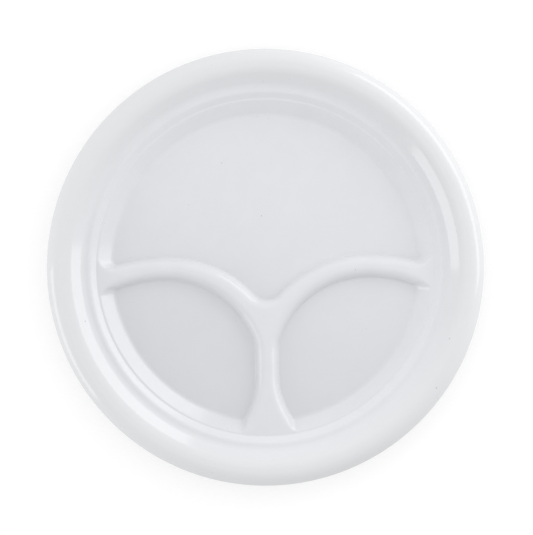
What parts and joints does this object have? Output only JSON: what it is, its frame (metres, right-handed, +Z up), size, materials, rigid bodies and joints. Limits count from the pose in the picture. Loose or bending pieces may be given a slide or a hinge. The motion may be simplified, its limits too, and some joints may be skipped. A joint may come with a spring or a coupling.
{
  "type": "divided compartment plate",
  "caption": "Round white melamine plate with a large main compartment, smaller side compartments and a raised rolled rim.",
  "frame": {"origin": "centre of the plate, on the plane that the foot ring stands on", "axes": "+Z up out of the compartments, +Y from the front divider towards the main compartment, +X to the right in the picture"},
  "size_m": [0.26, 0.26, 0.0203],
  "materials": {
    "rim": "glossy moulded melamine",
    "rim_ledge": "glossy moulded melamine",
    "well_wall": "glossy moulded melamine",
    "main_pan": "glossy moulded melamine, fine use marks",
    "left_pan": "glossy moulded melamine, fine use marks",
    "right_pan": "glossy moulded melamine, fine use marks",
    "left_divider": "glossy moulded melamine",
    "right_divider": "glossy moulded melamine",
    "front_divider": "glossy moulded melamine",
    "divider_hub": "glossy moulded melamine",
    "foot_ring": "moulded melamine, slightly duller where it stands"
  },
  "bodies": {
    "root": {"rim": "rim", "rim_ledge": "rim_ledge", "well_wall": "well_wall", "main_pan": "main_pan", "left_pan": "left_pan", "right_pan": "right_pan", "left_divider": "left_divider", "right_divider": "right_divider", "front_divider": "front_divider", "divider_hub": "divider_hub", "foot_ring": "foot_ring"}
  },
  "joints": []
}
